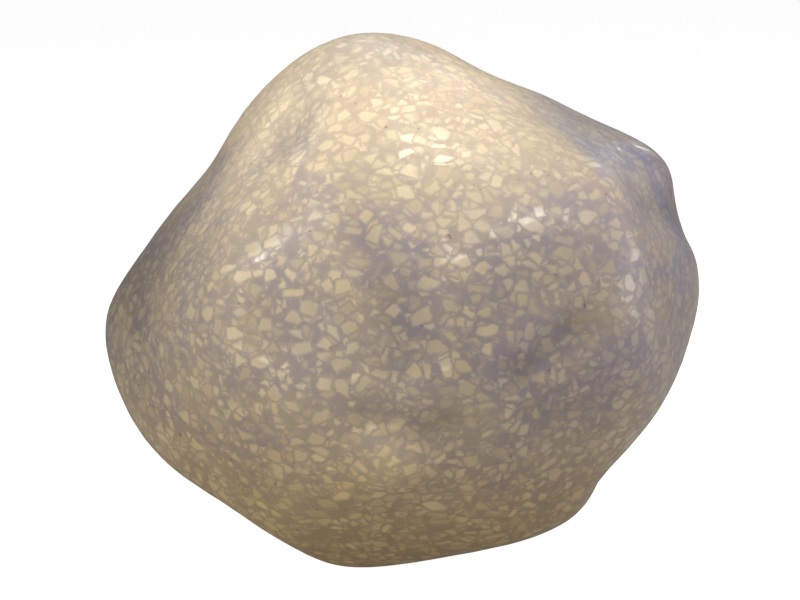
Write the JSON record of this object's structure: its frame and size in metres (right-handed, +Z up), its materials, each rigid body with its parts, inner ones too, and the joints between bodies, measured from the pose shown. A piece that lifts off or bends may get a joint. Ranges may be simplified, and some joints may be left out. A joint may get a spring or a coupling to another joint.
{
  "type": "polished sandstone boulder",
  "caption": "Rounded polished boulder of pale angular chips set in fine grey and tan stone, standing on a small flat ground seat.",
  "frame": {"origin": "on the plane of the flat seat, under the middle of the bounding box", "axes": "+Z up, out of the seat's plane; +X along the longest extent, to the right as seen from the front; the front looks along -Y"},
  "size_m": [0.3642, 0.3032, 0.3167],
  "materials": {
    "stone": "satin"
  },
  "bodies": {
    "root": {"stone": "stone"}
  },
  "joints": []
}
